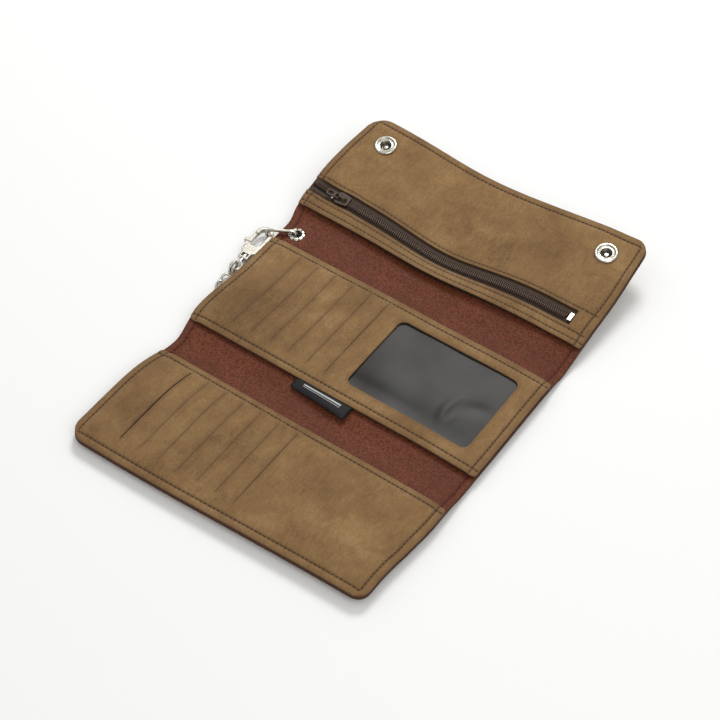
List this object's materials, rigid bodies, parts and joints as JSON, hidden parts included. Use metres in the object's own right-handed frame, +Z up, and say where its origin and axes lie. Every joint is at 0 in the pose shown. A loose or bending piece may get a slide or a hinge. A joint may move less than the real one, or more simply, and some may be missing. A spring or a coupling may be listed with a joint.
{
  "type": "chain wallet",
  "caption": "Long fold-over leather wallet lying open, with card slits, a clear ID window, a zip pocket on the snap flap, and a chain with a clasp at each end.",
  "frame": {"origin": "on the surface that the wallet rests on, under the middle of the open leather", "axes": "+X along the long side towards the ID window, +Y from the lower card panel to the zip flap, +Z up out of the inside of the wallet"},
  "size_m": [0.204, 0.2902, 0.0234],
  "materials": {
    "outer_leather": "matt waxed nubuck, mottled",
    "lining": "pebbled, low sheen",
    "nylon": "matt woven lining",
    "window_film": "clear gloss film",
    "label": "matt woven",
    "zip_nylon": "matt",
    "zip_metal": "brown enamel, worn at the edges",
    "nickel": "polished, lightly worn"
  },
  "bodies": {
    "middle": {"middle_shell": "outer_leather", "middle_lining": "lining", "middle_card_leaf_1": "nylon", "middle_card_leaf_2": "nylon", "middle_card_leaf_3": "nylon", "middle_card_leaf_4": "nylon", "middle_card_leaf_5": "nylon", "middle_card_leaf_6": "nylon", "id_backing": "nylon", "id_window": "window_film", "middle_pocket_face": "outer_leather", "label_tag": "label", "eyelet": "nickel", "eyelet_link": "nickel", "wallet_clasp_frame": "nickel", "wallet_clasp_pin": "nickel", "wallet_clasp_spring": "nickel", "wallet_chain_ring": "nickel", "chain": "nickel", "belt_chain_ring": "nickel", "belt_clasp_swivel": "nickel"},
    "lower_panel": {"lower_shell": "outer_leather", "lower_lining": "lining", "lower_card_leaf_1": "nylon", "lower_card_leaf_2": "nylon", "lower_card_leaf_3": "nylon", "lower_card_leaf_4": "nylon", "lower_card_leaf_5": "nylon", "lower_card_leaf_6": "nylon", "lower_card_leaf_7": "nylon", "lower_pocket_face": "outer_leather", "snap_stud_left": "nickel", "snap_stud_right": "nickel", "snap_post_left": "nickel", "snap_post_right": "nickel"},
    "flap": {"flap_shell": "outer_leather", "flap_lining": "lining", "zip_pocket_bag": "nylon", "flap_pocket_face": "outer_leather", "zip_tape_upper": "zip_nylon", "zip_tape_lower": "zip_nylon", "zip_coil_upper": "zip_nylon", "zip_coil_lower": "zip_nylon", "zip_top_stop_upper": "nickel", "zip_top_stop_lower": "nickel", "zip_bottom_stop": "nickel", "snap_socket_left": "nickel", "snap_socket_right": "nickel", "snap_cap_left": "nickel", "snap_cap_right": "nickel"},
    "zip_slider": {"zip_slider": "zip_metal"},
    "zip_pull": {"zip_pull": "zip_metal"},
    "wallet_clasp_trigger": {"wallet_clasp_trigger": "nickel"},
    "wallet_clasp_swivel": {"wallet_clasp_swivel": "nickel"},
    "belt_clasp": {"belt_clasp_frame": "nickel", "belt_clasp_pin": "nickel", "belt_clasp_spring": "nickel"},
    "belt_clasp_trigger": {"belt_clasp_trigger": "nickel"}
  },
  "joints": [
    {"name": "flap_fold", "type": "hinge", "parent": "middle", "child": "flap", "pos_m": [0, 0.05808, 0.0137], "axis": [1, 0, 0], "range_deg": [0, 170]},
    {"name": "lower_fold", "type": "hinge", "parent": "middle", "child": "lower_panel", "pos_m": [0, -0.05542, 0.00995], "axis": [-1, 0, 0], "range_deg": [0, 180]},
    {"name": "zip_slide", "type": "slide", "parent": "flap", "child": "zip_slider", "axis": [1, 0, 0], "range_m": [0, 0.15], "deforming": ["zip_coil_upper", "zip_coil_lower"]},
    {"name": "zip_pull_hinge", "type": "hinge", "parent": "zip_slider", "child": "zip_pull", "pos_m": [-0.0777, 0.07961, 0.01425], "axis": [0, 0.9848, 0.1736], "range_deg": [0, 140]},
    {"name": "wallet_trigger_hinge", "type": "hinge", "parent": "middle", "child": "wallet_clasp_trigger", "pos_m": [-0.10424, 0.0224, 0.00381], "axis": [-0.0006, 0.0213, -0.9998], "range_deg": [0, 22], "stiffness_Nm_per_rad": 0.01, "springref_deg": -11.46, "deforming": ["wallet_clasp_spring"]},
    {"name": "wallet_swivel_spin", "type": "hinge", "parent": "middle", "child": "wallet_clasp_swivel", "pos_m": [-0.10061, 0.01379, 0.00362], "axis": [-0.0262, 0.9994, 0.0213], "range_deg": [-25, 25]},
    {"name": "belt_swivel_spin", "type": "hinge", "parent": "middle", "child": "belt_clasp", "pos_m": [-0.06397, 0.10228, 0.00322], "axis": [0.9988, 0, -0.0496], "continuous": true},
    {"name": "belt_trigger_hinge", "type": "hinge", "parent": "belt_clasp", "child": "belt_clasp_trigger", "pos_m": [-0.05528, 0.09888, 0.00279], "axis": [0.0496, 0, 0.9988], "range_deg": [0, 22], "stiffness_Nm_per_rad": 0.01, "springref_deg": -11.46, "deforming": ["belt_clasp_spring"]}
  ]
}
